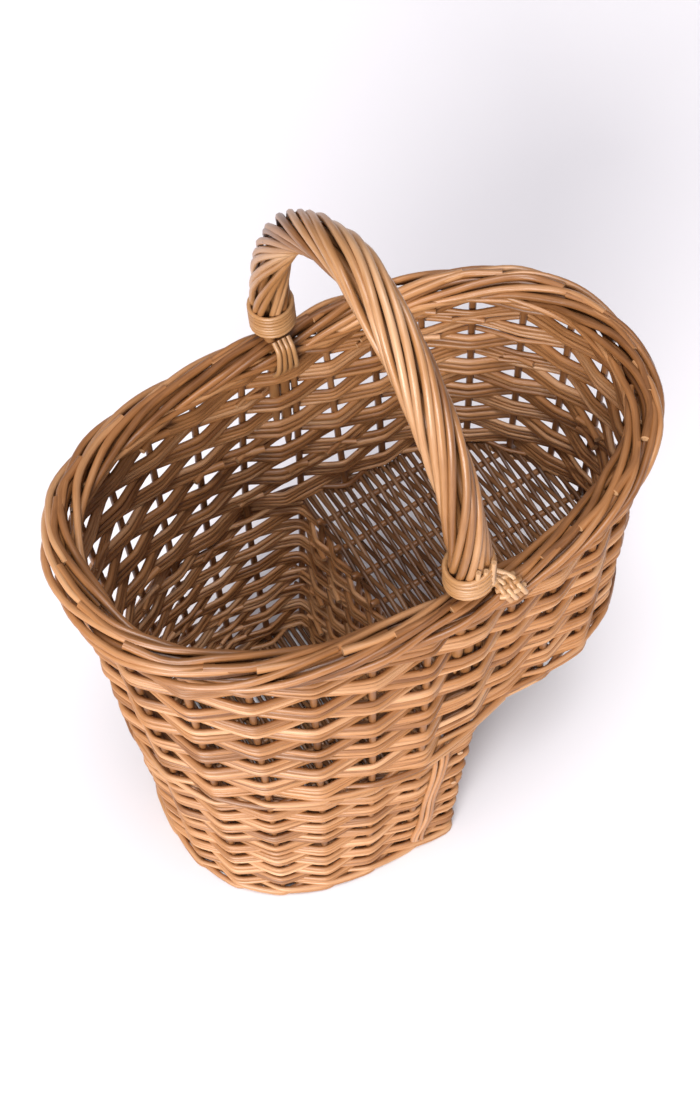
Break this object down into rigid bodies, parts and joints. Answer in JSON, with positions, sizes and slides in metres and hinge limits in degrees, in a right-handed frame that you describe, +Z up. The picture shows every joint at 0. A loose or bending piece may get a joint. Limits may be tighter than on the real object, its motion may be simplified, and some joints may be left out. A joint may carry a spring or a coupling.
{
  "type": "woven willow stair basket",
  "caption": "Oval willow stair basket with a deep front half, a shallow rear half that rests on the tread above, and one roped handle across the middle.",
  "frame": {"origin": "on the ground under the middle of the oval basket", "axes": "+Z up, +X towards the shallow end that rests on the upper tread, +Y to the far side"},
  "size_m": [0.4307, 0.2798, 0.5765],
  "materials": {
    "stake_rods": "satin, stripped and steamed willow",
    "weaving_rods": "satin, stripped and steamed willow",
    "wale_rods": "satin, stripped and steamed willow",
    "border_rods": "satin, stripped and steamed willow",
    "floor_rods": "matt, thin brown willow",
    "handle_bows": "satin, thick willow rod",
    "roping_rods": "satin, stripped and steamed willow",
    "binding_willow": "satin, split and shaved willow"
  },
  "bodies": {
    "root": {"stake_front_1": "stake_rods", "stake_front_2": "stake_rods", "stake_front_3": "stake_rods", "stake_front_4": "stake_rods", "stake_front_5": "stake_rods", "stake_front_6": "stake_rods", "stake_front_7": "stake_rods", "stake_front_8": "stake_rods", "stake_front_9": "stake_rods", "stake_front_10": "stake_rods", "stake_front_11": "stake_rods", "stake_front_12": "stake_rods", "stake_front_13": "stake_rods", "post_near": "stake_rods", "post_far": "stake_rods", "stake_side_near_1": "stake_rods", "stake_side_near_2": "stake_rods", "stake_side_near_3": "stake_rods", "stake_side_far_1": "stake_rods", "stake_side_far_2": "stake_rods", "stake_side_far_3": "stake_rods", "long_stake_1": "stake_rods", "long_stake_2": "stake_rods", "long_stake_3": "stake_rods", "long_stake_4": "stake_rods", "long_stake_5": "stake_rods", "long_stake_6": "stake_rods", "long_stake_7": "stake_rods", "upper_weaver_a": "weaving_rods", "upper_weaver_b": "weaving_rods", "lower_weaver_a": "weaving_rods", "lower_weaver_b": "weaving_rods", "foot_wale": "wale_rods", "step_wale": "wale_rods", "shallow_floor_weave": "floor_rods", "foot_floor_weave": "floor_rods", "foot_stick_1": "stake_rods", "foot_stick_2": "stake_rods", "foot_stick_3": "stake_rods", "foot_stick_4": "stake_rods", "foot_stick_5": "stake_rods", "border_outer": "border_rods", "border_inner": "border_rods", "border_cap_rear": "border_rods", "border_cap_front": "border_rods", "handle_bow_1": "handle_bows", "handle_bow_2": "handle_bows", "handle_roping_1": "roping_rods", "handle_roping_2": "roping_rods", "handle_roping_3": "roping_rods", "handle_roping_4": "roping_rods", "handle_roping_5": "roping_rods", "handle_roping_6": "roping_rods", "collar_near": "binding_willow", "collar_far": "binding_willow", "lash_near": "binding_willow", "lash_far": "binding_willow"}
  },
  "joints": []
}
